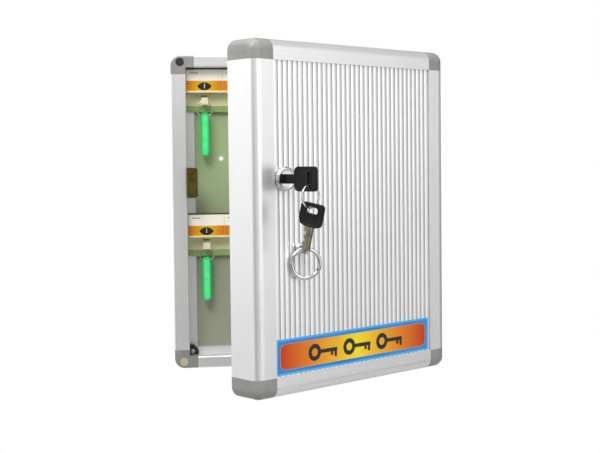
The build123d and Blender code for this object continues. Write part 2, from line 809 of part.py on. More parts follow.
def key_bow(bow, plane, bow_length, slot_drop, blade_length):
    """Moulded bow round the root of the blade, with a slot for the ring."""
    with BuildSketch(plane.offset(-bow_thickness / 2)) as grip:
        with Locations((0, bow_length / 2)):
            RectangleRounded(bow_width, bow_length, bow_corner)
    extrude(grip.sketch, amount=bow_thickness)
    with BuildSketch(plane) as slot:
        with Locations((0, slot_drop)):
            SlotOverall(bow_slot_length, bow_slot_width)
    extrude(slot.sketch, amount=bow_thickness, both=True, mode=Mode.SUBTRACT)
    normal = Axis(plane.origin, plane.z_dir)
    levels = bow.edges().group_by(normal)
    fillet(levels[0] + levels[-1], bow_edge)
    with BuildSketch(plane) as root:
        add(key_blade_profile(bow_length, blade_length))
    extrude(root.sketch, amount=blade_thickness / 2, both=True, mode=Mode.SUBTRACT)


# The key in the lock lies in the upright plane of the lock's axis; its y runs into the lock
key_end = door_back + key_bow_end
key_plane = on_door(Plane(origin=(lock_x, -key_end, lock_z), x_dir=(0, 0, 1), z_dir=(-1, 0, 0)))
with BuildPart() as blade:
    key_blade(key_plane, key_bow_length, key_blade_length)
save("key_blade", blade)
with BuildPart() as bow:
    key_bow(bow, key_plane, key_bow_length, key_slot_drop, key_blade_length)
save("key_bow", bow)

# The split ring hangs in the slot of the key, parallel with the door
ring_distance = key_end - key_slot_drop
split_top = lock_z - bow_slot_length / 2 + split_rest_gap + split_wire_radius
split_centre = split_top - split_radius
split_plane = on_door(facing(ring_distance, lock_x, split_centre))
with BuildPart() as split_ring:
    with BuildSketch(Plane(origin=split_plane.origin, x_dir=split_plane.x_dir, z_dir=-split_plane.y_dir)):
        with Locations((split_radius, 0)):
            Circle(split_wire_radius)
    revolve(axis=Axis(split_plane.origin, split_plane.z_dir))
save("split_ring", split_ring)

# The spare key hangs on the ring, turned towards the free edge of the door and leaning a little
hang_top = split_centre - split_radius + split_wire_radius + split_rest_gap
hang_plane = facing(ring_distance, lock_x, hang_top)
spare_slot = turned(hang_plane, spare_turn, spare_tilt)
spare_end = spare_slot.y_dir * (spare_slot_drop - bow_slot_width / 2)
spare_plane = on_door(Plane(
    origin=spare_slot.origin + spare_slot.x_dir * spare_slot_shift + spare_end,
    x_dir=-spare_slot.x_dir,
    z_dir=spare_slot.z_dir,
))
with BuildPart() as spare_key_blade:
    key_blade(spare_plane, spare_bow_length, spare_blade_length)
save("spare_key_blade", spare_key_blade)
with BuildPart() as spare_key_bow:
    key_bow(spare_key_bow, spare_plane, spare_bow_length, spare_slot_drop, spare_blade_length)
save("spare_key_bow", spare_key_bow)

# Eye for the pull ring: a round foot on the ribs, an upright eye and a nutted stud behind
eye_side = Plane(origin=(pull_x, -panel_front, pull_z), x_dir=(0, -1, 0), z_dir=(-1, 0, 0))
eye_hole_radius = ring_hole(pull_radius, pull_wire_radius, pull_rest_gap, eye_thickness, pull_turn)
with BuildPart() as pull_eye:
    round_bar(on_door(facing(panel_front, pull_x, pull_z)), eye_base_radius, eye_base_height)
    with BuildSketch(on_door(eye_side)):
        with Locations((eye_reach / 2, 0)):
            Rectangle(eye_reach, 2 * eye_radius)
        with Locations((eye_reach, 0)):
            Circle(eye_radius)
            Circle(eye_hole_radius, mode=Mode.SUBTRACT)
    extrude(amount=eye_thickness / 2, both=True)
    round_bar(on_door(facing(panel_back - eye_nut_thickness, pull_x, pull_z)), eye_stud_radius,
              panel_front - panel_back + eye_nut_thickness)
save("pull_eye", pull_eye)

with BuildPart() as pull_eye_nut:
    with BuildSketch(on_door(facing(panel_back - eye_nut_thickness, pull_x, pull_z))):
        RegularPolygon(eye_nut_flats / 2, 6, major_radius=False)
        Circle(eye_stud_radius, mode=Mode.SUBTRACT)
    extrude(amount=eye_nut_thickness)
save("pull_eye_nut", pull_eye_nut)

pull_plane = on_door(turned(facing(panel_front + eye_reach, pull_x, pull_z - pull_radius), pull_turn))
with BuildPart() as pull_ring:
    with BuildSketch(Plane(origin=pull_plane.origin, x_dir=pull_plane.x_dir, z_dir=-pull_plane.y_dir)):
        with Locations((pull_radius, 0)):
            Circle(pull_wire_radius)
    revolve(axis=Axis(pull_plane.origin, pull_plane.z_dir))
save("pull_ring", pull_ring)
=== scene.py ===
import json
import math

import bmesh
import bpy
from mathutils import Matrix, Vector

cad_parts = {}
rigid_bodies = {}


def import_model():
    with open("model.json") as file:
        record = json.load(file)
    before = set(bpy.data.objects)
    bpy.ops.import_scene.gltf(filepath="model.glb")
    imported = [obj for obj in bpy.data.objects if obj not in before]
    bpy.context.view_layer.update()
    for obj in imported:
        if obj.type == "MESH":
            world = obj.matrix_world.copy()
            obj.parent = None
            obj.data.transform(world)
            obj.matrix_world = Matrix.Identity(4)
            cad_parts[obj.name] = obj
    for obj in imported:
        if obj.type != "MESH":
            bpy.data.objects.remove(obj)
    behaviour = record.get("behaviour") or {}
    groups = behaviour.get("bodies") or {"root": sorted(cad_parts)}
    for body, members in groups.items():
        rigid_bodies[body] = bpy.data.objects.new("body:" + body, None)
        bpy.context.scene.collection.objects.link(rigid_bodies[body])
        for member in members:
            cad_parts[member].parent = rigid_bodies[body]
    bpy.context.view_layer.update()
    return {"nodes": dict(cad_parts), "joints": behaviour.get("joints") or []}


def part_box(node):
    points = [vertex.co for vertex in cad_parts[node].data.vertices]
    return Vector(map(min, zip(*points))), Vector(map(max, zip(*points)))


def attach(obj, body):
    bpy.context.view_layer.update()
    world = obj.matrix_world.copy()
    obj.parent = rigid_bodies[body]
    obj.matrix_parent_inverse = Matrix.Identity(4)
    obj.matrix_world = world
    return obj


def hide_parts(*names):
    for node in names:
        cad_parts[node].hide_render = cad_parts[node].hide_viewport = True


for leftover in list(bpy.data.objects):
    bpy.data.objects.remove(leftover)

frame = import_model()
nodes = frame["nodes"]
bpy.ops.object.select_all(action="DESELECT")

# Lengths below are in millimetres, times MM. A door piece is drawn with the door shut, where the
# part's own sizes run along the axes, and is then carried round the hinge to where it stands open.
MM = 0.001
swing = next(j for j in frame["joints"] if j["name"] == "door_swing")
hinge = Vector(swing["pos_m"])
open_angle = -math.radians(swing["range_deg"][0])
door_turn = Matrix.Translation(hinge) @ Matrix.Rotation(open_angle, 4, "Z") @ Matrix.Translation(-hinge)
door_shut = door_turn.inverted()
identity = Matrix.Identity(4)


def drawn_box(node):
    """Lowest and highest corner of a door node, as drawn with the door shut."""
    spots = [door_shut @ v.co for v in nodes[node].data.vertices]
    low = Vector([min(p[k] for p in spots) for k in range(3)])
    high = Vector([max(p[k] for p in spots) for k in range(3)])
    return low, high


def solids_of(node, back=identity):
    """Lowest and highest corner of each separate solid in a node."""
    copy = bmesh.new()
    copy.from_mesh(nodes[node].data)
    copy.transform(back)
    bmesh.ops.remove_doubles(copy, verts=copy.verts, dist=0.001 * MM)
    boxes = []
    waiting = set(copy.verts)
    while waiting:
        island = [waiting.pop()]
        for vertex in island:
            for edge in vertex.link_edges:
                other = edge.other_vert(vertex)
                if other in waiting:
                    waiting.remove(other)
                    island.append(other)
        low = Vector([min(v.co[k] for v in island) for k in range(3)])
        high = Vector([max(v.co[k] for v in island) for k in range(3)])
        boxes.append((low, high))
    copy.free()
    return sorted(boxes, key=lambda box: (round(box[0].z, 4), box[0].x))


# Modelling helpers

def alone(piece):
    bpy.ops.object.select_all(action="DESELECT")
    piece.select_set(True)
    bpy.context.view_layer.objects.active = piece


def active(name):
    piece = bpy.context.active_object
    piece.name = name
    piece.data.name = name
    alone(piece)
    return piece


def edit(piece):
    alone(piece)
    bpy.ops.object.mode_set(mode="EDIT")
    bpy.ops.mesh.select_mode(type="VERT")


def leave():
    bpy.ops.object.mode_set(mode="OBJECT")


def choose(piece, kind, test):
    """Selects, in edit mode, the verts, edges or faces that pass a test."""
    bpy.ops.mesh.select_mode(type={"verts": "VERT", "edges": "EDGE", "faces": "FACE"}[kind])
    bpy.ops.mesh.select_all(action="DESELECT")
    mesh = bmesh.from_edit_mesh(piece.data)
    for item in getattr(mesh, kind):
        if test(item):
            item.select_set(True)
    bmesh.update_edit_mesh(piece.data)


def middle(item):
    return sum((v.co for v in item.verts), Vector()) / len(item.verts)


def runs_along(edge, axis):
    way = (edge.verts[1].co - edge.verts[0].co).normalized()
    return abs(way[axis]) > 0.99


def apply_all(piece):
    alone(piece)
    bpy.ops.object.transform_apply(location=True, rotation=True, scale=True)
    return piece


def block(name, size, centre=(0, 0, 0)):
    """A box of this size in millimetres about a centre, with its place applied."""
    bpy.ops.mesh.primitive_cube_add(size=1, location=Vector(centre) * MM)
    piece = active(name)
    piece.scale = Vector(size) * MM
    return apply_all(piece)


def round_corners(piece, axis, radius, test=lambda spot: True, steps=6):
    """Bevels the edges that run along one axis and pass a test on their middle."""
    edit(piece)
    choose(piece, "edges", lambda e: runs_along(e, axis) and test(middle(e)))
    bpy.ops.mesh.bevel(offset=radius * MM, offset_type="OFFSET", segments=steps, affect="EDGES")
    leave()
    return piece


def modify(piece, kind, **settings):
    """Adds one modifier with these settings and applies it."""
    alone(piece)
    modifier = piece.modifiers.new(kind.title(), kind)
    for name, value in settings.items():
        setattr(modifier, name, value)
    bpy.ops.object.modifier_apply(modifier=modifier.name)
    return piece


def boolean(piece, tool, operation):
    modify(piece, "BOOLEAN", operation=operation, object=tool, solver="EXACT")
    bpy.data.objects.remove(tool)
    return piece


def soften(piece, width, steps=2, angle=40):
    """Small rounds on the sharp edges, then smooth shading between them."""
    modify(piece, "BEVEL", width=width * MM, segments=steps, limit_method="ANGLE",
           angle_limit=math.radians(angle), harden_normals=False)
    return smooth(piece)


def smooth(piece):
    """Shades a piece smooth, except over edges sharper than 35 degrees."""
    alone(piece)
    bpy.ops.object.shade_smooth_by_angle(angle=math.radians(35))
    return piece


def outline(name, points):
    """A chain of edges through points in metres, drawn by extruding a single vertex."""
    bpy.ops.mesh.primitive_plane_add(size=MM, location=points[0])
    piece = apply_all(active(name))
    edit(piece)
    bpy.ops.mesh.select_all(action="SELECT")
    bpy.ops.mesh.merge(type="CENTER")
    for start, end in zip(points, points[1:]):
        bpy.ops.mesh.extrude_region_move(TRANSFORM_OT_translate={"value": end - start})
    leave()
    return piece


def turned(name, profile, axle, along, steps=64):
    """A closed shape turned about an axle: profile is (radius, height along the axle) in millimetres."""
    side = along.orthogonal().normalized()
    points = [axle + (side * r + along * h) * MM for r, h in profile]
    piece = outline(name, points)
    edit(piece)
    bpy.ops.mesh.select_all(action="SELECT")
    bpy.ops.mesh.spin(steps=steps, angle=2 * math.pi, center=axle, axis=along)
    bpy.ops.mesh.select_all(action="SELECT")
    bpy.ops.mesh.remove_doubles(threshold=0.001 * MM)
    bpy.ops.mesh.normals_make_consistent(inside=False)
    leave()
    return smooth(piece)


def copy_to(piece, name, matrix):
    alone(piece)
    bpy.ops.object.duplicate()
    twin = active(name)
    twin.data.transform(matrix)
    return twin


def join(name, pieces):
    bpy.ops.object.select_all(action="DESELECT")
    for piece in pieces:
        piece.select_set(True)
    bpy.context.view_layer.objects.active = pieces[0]
    bpy.ops.object.join()
    return active(name)


def settle(piece, body, finish, carry=identity, stands_for=()):
    """Bakes a piece's place into its mesh, dresses it and lets it ride on a body."""
    apply_all(piece)
    piece.data.transform(carry)
    piece.data.materials.clear()
    piece.data.materials.append(finish)
    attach(piece, body)
    if stands_for:
        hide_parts(*stands_for)
    return piece


# Shader helper

class Shade:
    """A socket in one material's node tree. Arithmetic on it adds Math nodes."""

    def __init__(self, tree, socket=None):
        self.tree = tree
        self.socket = socket

    def node(self, kind, settings=None, sockets=None, output=0):
        """Adds a node: its settings are set first, then the values or links of its sockets."""
        made = self.tree.nodes.new(kind)
        for name, value in (settings or {}).items():
            if name == "stops":
                ramp = made.color_ramp
                while len(ramp.elements) < len(value):
                    ramp.elements.new(0.5)
                for element, (position, colour) in zip(ramp.elements, value):
                    element.position = position
                    element.color = (*colour, 1)
            else:
                setattr(made, name, value)
        for name, value in (sockets or {}).items():
            if isinstance(value, Shade):
                self.tree.links.new(value.socket, made.inputs[name])
            else:
                made.inputs[name].default_value = value
        return Shade(self.tree, made.outputs[output] if made.outputs else None)

    def math(self, operation, *values):
        return self.node("ShaderNodeMath", {"operation": operation}, dict(enumerate(values)))

    def __add__(self, other):
        return self.math("ADD", self, other)

    def __radd__(self, other):
        return self.math("ADD", other, self)

    def __sub__(self, other):
        return self.math("SUBTRACT", self, other)

    def __rsub__(self, other):
        return self.math("SUBTRACT", other, self)

    def __mul__(self, other):
        return self.math("MULTIPLY", self, other)

    def __rmul__(self, other):
        return self.math("MULTIPLY", other, self)

    def __truediv__(self, other):
        return self.math("DIVIDE", self, other)

    def __pow__(self, other):
        return self.math("POWER", self, other)

    def __abs__(self):
        return self.math("ABSOLUTE", self)

    def above(self, low, high):
        """0 under low and 1 over high, with a smooth step between."""
        ramp = {"data_type": "FLOAT", "interpolation_type": "SMOOTHSTEP"}
        return self.node("ShaderNodeMapRange", ramp, {"Value": self, "From Min": low, "From Max": high})

    def part(self, name):
        return self.node("ShaderNodeSeparateXYZ", None, {0: self}, name)

    def blend(self, first, second):
        """The first colour where this mask is 0, and the second where it is 1."""
        sockets = {"Factor": self, 6: first, 7: second}
        return self.node("ShaderNodeMix", {"data_type": "RGBA"}, sockets, 2)

    def place(self, carried=False):
        """Object coordinates in metres, for a door piece as drawn with the door shut."""
        spot = self.node("ShaderNodeTexCoord", None, None, "Object")
        if not carried:
            return spot
        back = Matrix.Rotation(-open_angle, 4, "Z")
        sockets = {"Vector": spot, "Location": hinge - back @ hinge, "Rotation": (0, 0, -open_angle)}
        return self.node("ShaderNodeMapping", {"vector_type": "POINT"}, sockets)

    def noise(self, spot, scale, stretch=(1, 1, 1), detail=3):
        stretched = self.node("ShaderNodeMapping", None, {"Vector": spot, "Scale": stretch})
        sockets = {"Vector": stretched, "Scale": scale, "Detail": detail}
        return self.node("ShaderNodeTexNoise", None, sockets)

    def bump(self, height, strength, distance):
        sockets = {"Height": height, "Strength": strength, "Distance": distance * MM}
        return self.node("ShaderNodeBump", None, sockets)


def material(name):
    """An empty material and the pen that draws its nodes."""
    made = bpy.data.materials.new(name)
    made.use_nodes = True
    made.node_tree.nodes.clear()
    return made, Shade(made.node_tree)


def surface(pen, **sockets):
    """Ends a material in one Principled shader."""
    named = {name.replace("_", " "): value for name, value in sockets.items()}
    shader = pen.node("ShaderNodeBsdfPrincipled", None, named)
    pen.node("ShaderNodeOutputMaterial", None, {"Surface": shader})


def grey(level):
    return (level, level, level, 1)


# Finishes. First the count and the sizes that their patterns follow.
rib_count = 34
line_width = 1.7
panel_margin = 4.4
panel_power = 26
panel_crown = 5.5
band_height = 10.9
foot_line = 0.9
rail_lip = 6.3
# Height of the painted shadow along a rail's top.
rail_top_shadow = 1.15


def satin_aluminium(name, grain, carried):
    """Anodised bar: fine streaks along the grain axis, and slow cloudiness."""
    made, pen = material(name)
    spot = pen.place(carried)
    fine = [900, 900, 900]
    fine[grain] = 8
    streaks = pen.noise(spot, 1, fine, 2)
    cloud = pen.noise(spot, 14)
    tone = streaks * 0.5 + cloud * 0.5
    colour = tone.above(0.3, 0.7).blend((0.81, 0.812, 0.81, 1), (0.87, 0.87, 0.865, 1))
    surface(pen, Base_Color=colour, Metallic=0.68, Roughness=0.30 + streaks * 0.06,
            Normal=pen.bump(streaks, 0.05, 0.01))
    return made


def ribbed_aluminium():
    """The door panel: streaks along the ribs, and shade in the groove between two of them."""
    made, pen = material("ribbed_aluminium")
    spot = pen.place(True)
    streaks = pen.noise(spot, 1, (900, 900, 7), 2)
    cloud = pen.noise(spot, 11)
    low, high = drawn_box("door_top_rail")
    pitch = (high.x - low.x) / rib_count
    across = pen.math("FRACT", (spot.part("X") - low.x) / pitch)
    groove = abs(across - 0.5).above(0.39, 0.475)
    tone = (streaks * 0.4 + cloud * 0.6).above(0.3, 0.7)
    bright = tone.blend((0.88, 0.88, 0.88, 1), (0.94, 0.94, 0.94, 1))
    surface(pen, Base_Color=groove.blend(bright, grey(0.46)), Metallic=0.66,
            Roughness=0.25 + streaks * 0.08 + groove * 0.25, Normal=pen.bump(streaks, 0.05, 0.01))
    return made


def plain_metal(name, colour, roughness, wear=0.03):
    """Plated or polished metal with a faint unevenness in colour and polish."""
    made, pen = material(name)
    spot = pen.place()
    patches = pen.noise(spot, 260)
    dark = [c * (1 - 4 * wear) for c in colour]
    tone = patches.above(0.35, 0.65).blend((*dark, 1), (*colour, 1))
    surface(pen, Base_Color=tone, Metallic=1.0, Roughness=roughness + patches * wear,
            Normal=pen.bump(patches, 0.05, 0.01))
    return made


def moulding(name, colour, roughness, grain=2600, depth=0.25, sheen=0.12, gloss=0.5):
    """Moulded plastic or rubber: fine spark-eroded grain and a slight mottle."""
    made, pen = material(name)
    spot = pen.place()
    grains = pen.noise(spot, grain, detail=1)
    mottle = pen.noise(spot, 60)
    light = [min(1, c * (1 + sheen)) for c in colour]
    tone = mottle.above(0.35, 0.65).blend((*colour, 1), (*light, 1))
    surface(pen, Base_Color=tone, Roughness=roughness + mottle * 0.08, Specular_IOR_Level=gloss,
            Normal=pen.bump(grains, depth, 0.03))
    return made


def painted_back():
    """The back panel: smooth pale paint with a faint orange peel, and painted green reflection of the tags
    and rails that fades to grey towards its foot.
    """
    made, pen = material("back_paint")
    spot = pen.place()
    peel = pen.noise(spot, 420, detail=1)
    cloud = pen.noise(spot, 9)
    low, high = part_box("back_panel")
    # Painted reflection: the base colour turns greener and lighter up the panel, for green light thrown back
    # from the tags and rails.
    share = (spot.part("Z") - low.z) / (high.z - low.z) + cloud * 0.1
    tone = share.above(0.35, 0.75).blend((0.33, 0.35, 0.26, 1), (0.37, 0.48, 0.25, 1))
    surface(pen, Base_Color=tone, Roughness=0.34 + peel * 0.1, Specular_IOR_Level=0.3,
            Normal=pen.bump(peel, 0.1, 0.02))
    return made


def label_print():
    """Printed film: light blue line, blue field, and a rounded panel from orange over yellow to orange."""
    made, pen = material("label_print")
    spot = pen.place(True)
    low, high = drawn_box("label_plate")
    centre = (low + high) / 2
    half = (high - low) / 2
    x = abs(spot.part("X") - centre.x)
    z = abs(spot.part("Z") - centre.z)
    to_side = (half.x - x) / MM
    to_end = (half.z - z) / MM
    field = pen.math("MINIMUM", to_side, to_end).above(line_width - 0.3, line_width + 0.3)
    panel_x = half.x - panel_margin * MM
    panel_z = half.z - panel_margin * MM
    bulge = (x / panel_x) ** panel_power + (z / panel_z) ** panel_crown
    rim = 1 - bulge.above(1.02, 1.06)
    panel = 1 - bulge.above(0.93, 0.96)
    shine = pen.noise(spot, 30)
    blue = shine.above(0.3, 0.7).blend((0.030, 0.20, 0.55, 1), (0.05, 0.27, 0.64, 1))
    glow = pen.node("ShaderNodeValToRGB", {"stops": [
        (0.0, (0.92, 0.72, 0.02)),
        (0.25, (0.85, 0.45, 0.02)),
        (0.62, (0.74, 0.20, 0.012)),
        (0.95, (0.53, 0.042, 0.005)),
    ]}, {"Fac": x / half.x})
    colour = field.blend((0.09, 0.42, 0.76, 1), blue)
    colour = rim.blend(colour, (0.30, 0.48, 0.74, 1))
    colour = panel.blend(colour, glow)
    surface(pen, Base_Color=colour, Roughness=0.42 + shine * 0.08, Specular_IOR_Level=0.25,
            Normal=pen.bump(pen.noise(spot, 600, detail=1), 0.04, 0.01))
    return made


def card_print(name, node):
    """Name card: warm white above, an orange and yellow band, and a thin pale line at its foot."""
    made, pen = material(name)
    spot = pen.place()
    cards = solids_of(node)
    low, high = cards[0]
    pitch = cards[1][0].x - low.x
    rise = (spot.part("Z") - low.z) / MM
    middle_x = (low.x + high.x) / 2
    across = abs(pen.math("FRACT", (spot.part("X") - middle_x) / pitch + 0.5) - 0.5) * 2
    glow = pen.node("ShaderNodeValToRGB", {"stops": [
        (0.0, (0.78, 0.47, 0.01)),
        (0.45, (0.74, 0.35, 0.01)),
        (1.0, (0.68, 0.18, 0.005)),
    ]}, {"Fac": across})
    fibres = pen.noise(spot, 900, detail=2)
    paper = fibres.above(0.3, 0.7).blend((0.94, 0.89, 0.78, 1), (0.98, 0.94, 0.85, 1))
    colour = rise.above(band_height, band_height + 0.2).blend(glow, paper)
    colour = rise.above(foot_line, foot_line + 0.2).blend((0.86, 0.82, 0.42, 1), colour)
    surface(pen, Base_Color=colour, Roughness=0.5 + fibres * 0.1, Specular_IOR_Level=0.2,
            Normal=pen.bump(fibres, 0.08, 0.02))
    return made


def rail_cream(name, node):
    """Cream moulding with a green foot lip, darkened by painted shadow and green reflection, and a painted
    shadow along its top.
    """
    made, pen = material(name)
    spot = pen.place()
    low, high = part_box(node)
    mottle = pen.noise(spot, 60)
    rise = (spot.part("Z") - low.z) / MM
    cream = mottle.above(0.35, 0.65).blend((0.70, 0.67, 0.39, 1), (0.75, 0.72, 0.43, 1))
    # The foot lip's dark green is partly painted shadow and painted green reflection of the tags.
    colour = rise.above(rail_lip - 0.3, rail_lip + 0.3).blend((0.29, 0.39, 0.135, 1), cream)
    # Painted shadow: a dark line along the top, where the gap under the bar above lies in shade.
    top_shadow_start = (high.z - low.z) / MM - rail_top_shadow
    colour = rise.above(top_shadow_start, top_shadow_start + 0.1).blend(colour, (0.06, 0.05, 0.03, 1))
    surface(pen, Base_Color=colour, Roughness=0.30 + mottle * 0.08,
            Normal=pen.bump(pen.noise(spot, 1400, detail=1), 0.1, 0.03))
    return made


def clear_green(name, node):
    """Tinted moulding with a painted glow from a little emission all over, and painted shade that deepens its
    green at the rims.
    """
    made, pen = material(name)
    spot = pen.place()
    low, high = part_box(node)
    centre = (low + high) / 2
    half = (high - low) / 2
    across = abs(spot.part("X") - centre.x) / half.x
    along = abs(spot.part("Z") - centre.z) / half.z
    # Painted shade: the green darkens towards the tag's rounded rims.
    rim = 1 - (1 - across.above(0.35, 1.05)) * (1 - along.above(0.80, 1.02))
    cloud = pen.noise(spot, 120)
    core = cloud.above(0.3, 0.7).blend((0.05, 0.64, 0.19, 1), (0.07, 0.74, 0.25, 1))
    colour = rim.blend(core, (0.010, 0.30, 0.08, 1))
    # Painted glow: the emission makes the tag shine though it is no lamp.
    surface(pen, Base_Color=colour, Roughness=0.22 + cloud * 0.06, Emission_Color=colour,
            Emission_Strength=0.28, Normal=pen.bump(cloud, 0.05, 0.02))
    return made


finishes = {
    "frame_z": satin_aluminium("frame_upright", 2, False),
    "frame_x": satin_aluminium("frame_level", 0, False),
    "door_z": satin_aluminium("door_upright", 2, True),
    "door_x": satin_aluminium("door_level", 0, True),
    "ribs": ribbed_aluminium(),
    "corner": moulding("corner_plastic", (0.250, 0.248, 0.238), 0.30),
    "back": painted_back(),
    "label": label_print(),
    "upper_card": card_print("upper_card_print", "upper_name_cards"),
    "lower_card": card_print("lower_card_print", "lower_name_cards"),
    "upper_rail": rail_cream("upper_rail_cream", "upper_hook_rail"),
    "lower_rail": rail_cream("lower_rail_cream", "lower_hook_rail"),
    "hook": moulding("hook_cream", (0.74, 0.72, 0.52), 0.28, 1400, 0.1, 0.05),
    "black": moulding("bow_black", (0.011, 0.011, 0.012), 0.42, gloss=0.16),
    "gusset": moulding("gusset_black", (0.012, 0.013, 0.014), 0.45),
    "rubber": moulding("black_rubber", (0.010, 0.010, 0.011), 0.55, 900, 0.3),
    "pale": moulding("pale_rubber", (0.50, 0.43, 0.29), 0.6, 900, 0.3),
    "ink": moulding("print_black", (0.012, 0.010, 0.009), 0.28, 500, 0.02),
    "digit": moulding("print_white", (0.80, 0.80, 0.76), 0.35, 500, 0.02),
    "line": moulding("print_grey", (0.20, 0.19, 0.18), 0.5, 500, 0.02),
    "upper_green": clear_green("upper_tag_green", "upper_key_tag"),
    "lower_green": clear_green("lower_tag_green", "lower_key_tag"),
    "chrome": plain_metal("lock_chrome", (0.66, 0.66, 0.67), 0.05, 0.02),
    "wire": plain_metal("ring_wire", (0.80, 0.79, 0.76), 0.12),
    "screw": plain_metal("screw_steel", (0.66, 0.66, 0.62), 0.26, 0.06),
    "zinc": plain_metal("zinc_steel", (0.60, 0.60, 0.57), 0.32, 0.07),
    "hinge": plain_metal("hinge_steel", (0.66, 0.66, 0.65), 0.30, 0.05),
    "blade": plain_metal("key_steel", (0.50, 0.50, 0.47), 0.24, 0.06),
    "brass": plain_metal("key_brass", (0.28, 0.24, 0.165), 0.28, 0.08),
    "bronze": plain_metal("strike_bronze", (0.19, 0.155, 0.040), 0.30, 0.08),
}

# Finishes of the nodes that show as they are. The others get theirs by what their names share.
dressed = {
    "back_panel": "back", "ribbed_panel": "ribs", "label_plate": "label", "corner_gussets": "gusset",
    "upper_buffer": "rubber", "lower_buffer": "pale", "strike_plate": "bronze",
    "upper_name_cards": "upper_card", "lower_name_cards": "lower_card",
    "lock_nut": "zinc", "lock_cam": "zinc", "pull_eye_nut": "zinc", "lock_plug": "chrome",
    "pull_ring": "chrome", "key_blade": "blade", "spare_key_blade": "brass",
}


def finish_of(node):
    """The finish of a node that shows as it is, or None where a modelled piece stands for it."""
    if node in dressed:
        return dressed[node]
    if node.endswith("_corner"):
        return "corner"
    if node.endswith("hook_rail"):
        return node.split("_")[0] + "_rail"
    if node.endswith("key_hooks"):
        return "hook"
    if node.endswith("_rail"):
        grain = "_x" if node.split("_")[1] in ("top", "bottom") else "_z"
        return node.split("_")[0].replace("body", "frame") + grain
    if "hinge" in node and "screws" not in node:
        return "hinge"
    return None


for node, piece in nodes.items():
    key = finish_of(node)
    if key is not None:
        piece.data.materials.clear()
        piece.data.materials.append(finishes[key])

# Lock: a turned collar with a ring groove, on a threaded barrel
out = Vector((0, -1, 0))
housing_low, housing_high = drawn_box("lock_housing")
lock = Vector(((housing_low.x + housing_high.x) / 2, 0, (housing_low.z + housing_high.z) / 2))
collar_radius = (housing_high.x - housing_low.x) / 2 / MM
collar_front = -housing_low.y / MM
barrel_back = -housing_high.y / MM
panel_front = -drawn_box("ribbed_panel")[0].y / MM
barrel_radius = 9.0
thread_pitch = 1.25
thread_depth = 0.5
bore = 6.06
head_bore = 7.46
head_seat = 2.45
lip = 0.5
crown_width = 1.9
crown_drop = 2.2
crown_steps = 6


def collar_profile():
    """The barrel with its thread, then the collar's round crown, its ring groove and the plug's bore."""
    front = collar_front
    crown = collar_radius - crown_width
    points = [(bore, barrel_back), (barrel_radius - thread_depth, barrel_back)]
    height = barrel_back + thread_pitch
    while height < panel_front - thread_pitch:
        points.append((barrel_radius - thread_depth, height - thread_pitch / 2))
        points.append((barrel_radius, height))
        height += thread_pitch
    points += [(barrel_radius, panel_front), (collar_radius - lip, panel_front)]
    points += [(collar_radius, panel_front + lip), (collar_radius, front - crown_drop)]
    for step in range(1, crown_steps + 1):
        angle = math.pi / 2 * step / crown_steps
        height = front - crown_drop + crown_drop * math.sin(angle)
        points.append((crown + crown_width * math.cos(angle), height))
    points += [(crown - 0.25, front - 0.05), (crown - 0.4, front - 0.4), (crown - 0.75, front - 0.4)]
    points += [(crown - 0.9, front - 0.1), (head_bore + 0.25, front - 0.15), (head_bore, front - 0.5)]
    points += [(head_bore, front - head_seat), (bore, front - head_seat), (bore, barrel_back)]
    return points


collar = turned("lock_collar", collar_profile(), lock, out, 72)
settle(collar, "door", finishes["chrome"], door_turn, ["lock_housing"])

# Screws: turned heads with a cross recess, modelled once for each kind and copied
cross_width = 0.8
cross_reach = 3.2
cross_depth = 1.6
screw_tip = 1.0
screw_taper = 2.0


def screw_master(name, head, radius, length, direction):
    """A screw whose head's underside is at the origin and whose head faces along direction."""
    shank = [(0, -length + screw_tip), (radius * 0.6, -length + 0.6)]
    shank += [(radius, -length + screw_taper), (radius, 0)]
    made = turned(name, shank + head, Vector(), direction, 32)
    top = max(h for r, h in head)
    for turn in (0, math.pi / 2):
        bar = block("recess", (cross_reach, cross_width, cross_depth))
        bar.data.transform(Matrix.Rotation(turn, 4, "Z"))
        bar.data.transform(direction.to_track_quat("Z", "Y").to_matrix().to_4x4())
        bar.data.transform(Matrix.Translation(direction * top * MM))
        boolean(made, bar, "DIFFERENCE")
    return smooth(made)


def screws_on(name, node, head, radius, direction, body, carry=identity, back=identity):
    """Puts a copy of one screw on each solid of a node, its head's top level with the solid's."""
    spots = solids_of(node, back)
    axis = max(range(3), key=lambda k: abs(direction[k]))
    length = (spots[0][1][axis] - spots[0][0][axis]) / MM
    top = max(h for r, h in head)
    master = screw_master(name + "_master", head, radius, length - top, direction)
    copies = []
    for number, (low, high) in enumerate(spots):
        seat = (low + high) / 2
        seat[axis] = (high if direction[axis] > 0 else low)[axis] - direction[axis] * top * MM
        copies.append(copy_to(master, f"{name}_{number}", Matrix.Translation(seat)))
    bpy.data.objects.remove(master)
    return settle(join(name, copies), body, finishes["screw"], carry, [node])


def pan_head(radius, height):
    return [(radius, 0), (radius, height * 0.35), (radius * 0.86, height * 0.8),
            (radius * 0.5, height), (0, height)]


side_out = Vector((1, 0, 0))
flush_head = [(3.0, 1.4), (0, 1.4)]
screws_on("rail_screw_set", "rail_screws", pan_head(3.0, 1.6), 1.6, out, "root")
screws_on("strike_screw_set", "strike_screws", pan_head(3.0, 1.6), 1.6, side_out, "root")
screws_on("gusset_screw_set", "gusset_screws", pan_head(2.4, 1.0), 1.5, out, "root")
screws_on("body_hinge_screw_set", "body_hinge_screws", flush_head, 1.6, side_out, "root")
screws_on("door_hinge_screw_set", "door_hinge_screws", flush_head, 1.6, side_out, "door",
          door_turn, door_shut)
screws_on("cam_screw_head", "cam_screw", pan_head(4.2, 2.2), 1.6, -out, "lock_core", door_turn, door_shut)


